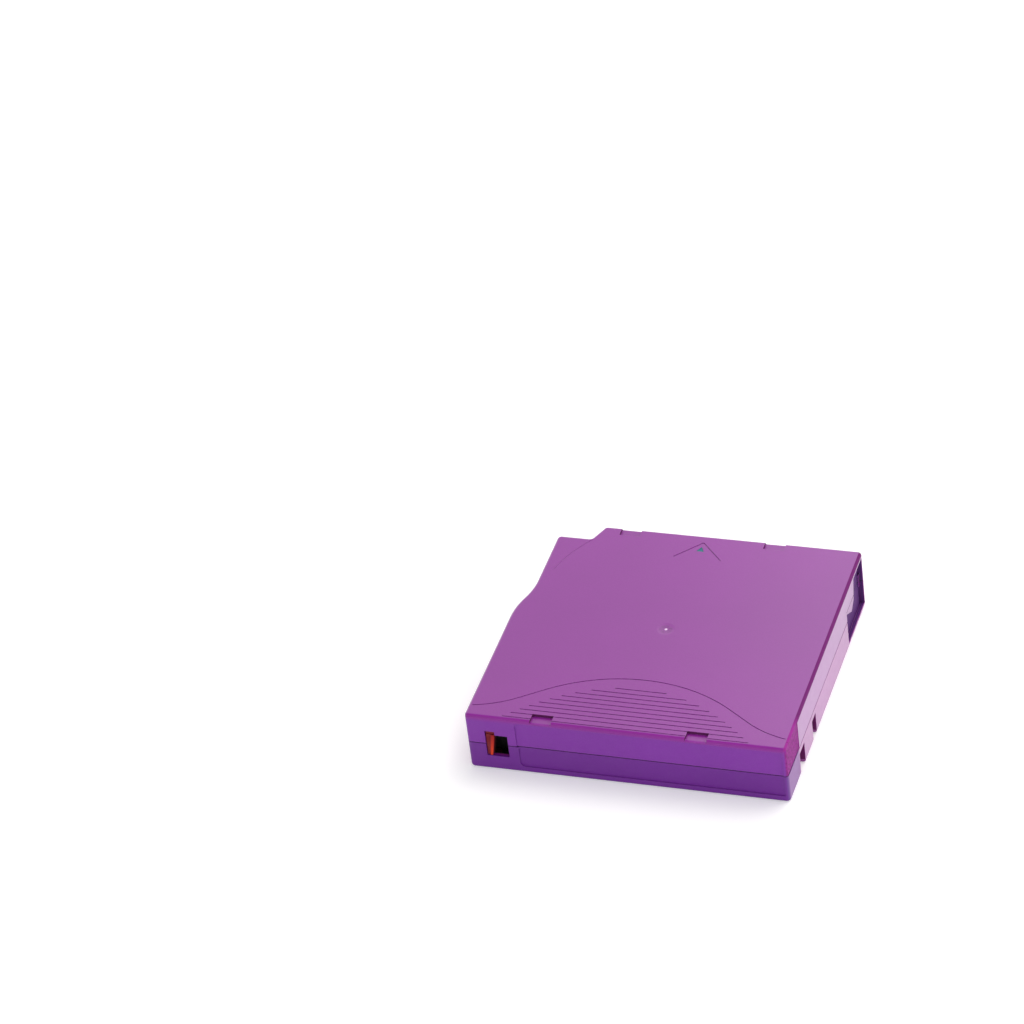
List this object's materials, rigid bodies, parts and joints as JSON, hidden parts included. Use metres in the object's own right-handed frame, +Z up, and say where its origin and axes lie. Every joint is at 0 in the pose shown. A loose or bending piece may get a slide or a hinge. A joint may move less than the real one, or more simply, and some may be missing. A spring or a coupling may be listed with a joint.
{
  "type": "data tape cartridge",
  "caption": "Flat square tape cartridge: two-part purple case, one reel with toothed drive hub, sliding side door, leader pin, brake and write-protect switch.",
  "frame": {"origin": "middle of the case's box on its base plane", "axes": "+Y is the loading direction, away from the label end; +Z up, out of the top face; +X towards the door side"},
  "size_m": [0.1054, 0.102, 0.0215],
  "materials": {
    "case_plastic": "purple moulded plastic, satin, fine grain",
    "door_plastic": "purple moulded plastic, matt",
    "switch_plastic": "red moulded plastic",
    "hub_plastic": "natural white moulded plastic",
    "flange_plastic": "natural white moulded plastic",
    "tape_film": "dark coated film, wound edge",
    "brake_plastic": "natural moulded plastic",
    "pad_plastic": "natural bearing plastic",
    "clamp_plastic": "dark moulded plastic",
    "plate_steel": "stamped steel",
    "pin_steel": "turned steel",
    "spring_steel": "drawn spring wire",
    "screw_steel": "plated steel",
    "board_green": "solder mask",
    "die_black": "potting",
    "antenna_copper": "etched copper"
  },
  "bodies": {
    "case": {"lower_shell": "case_plastic", "upper_shell": "case_plastic", "case_screws": "screw_steel", "leader_tape": "tape_film", "leader_pin": "pin_steel", "leader_pin_clamp": "clamp_plastic", "pin_clip_lower": "spring_steel", "pin_clip_upper": "spring_steel", "brake_spring": "spring_steel", "door_spring": "spring_steel", "memory_board": "board_green", "memory_die": "die_black", "memory_antenna": "antenna_copper"},
    "door": {"door": "door_plastic"},
    "write_protect_switch": {"write_protect_switch": "switch_plastic"},
    "reel": {"reel_hub": "hub_plastic", "reel_upper_flange": "flange_plastic", "reel_clutch_plate": "plate_steel", "tape_pack": "tape_film"},
    "brake_button": {"brake_button": "brake_plastic"},
    "brake_release_pad": {"brake_release_pad": "pad_plastic"}
  },
  "joints": [
    {"name": "door_slide", "type": "slide", "parent": "case", "child": "door", "axis": [0, -1, 0], "range_m": [0, 0.022], "stiffness_N_per_m": 40, "springref_m": -0.02, "deforming": ["door_spring"]},
    {"name": "write_protect_slide", "type": "slide", "parent": "case", "child": "write_protect_switch", "axis": [1, 0, 0], "range_m": [0, 0.00415]},
    {"name": "reel_spin", "type": "hinge", "parent": "case", "child": "reel", "pos_m": [0, 0, 0.0105], "axis": [0, 0, 1], "continuous": true},
    {"name": "brake_lift", "type": "slide", "parent": "case", "child": "brake_button", "axis": [0, 0, 1], "range_m": [-0.00135, 0.0015], "stiffness_N_per_m": 150, "springref_m": -0.005, "deforming": ["brake_spring"]},
    {"name": "pad_lift", "type": "slide", "parent": "reel", "child": "brake_release_pad", "axis": [0, 0, 1], "range_m": [-0.00135, 0.0015]}
  ],
  "couplings": [
    {"joint": "pad_lift", "follows": "brake_lift", "ratio": 1}
  ]
}
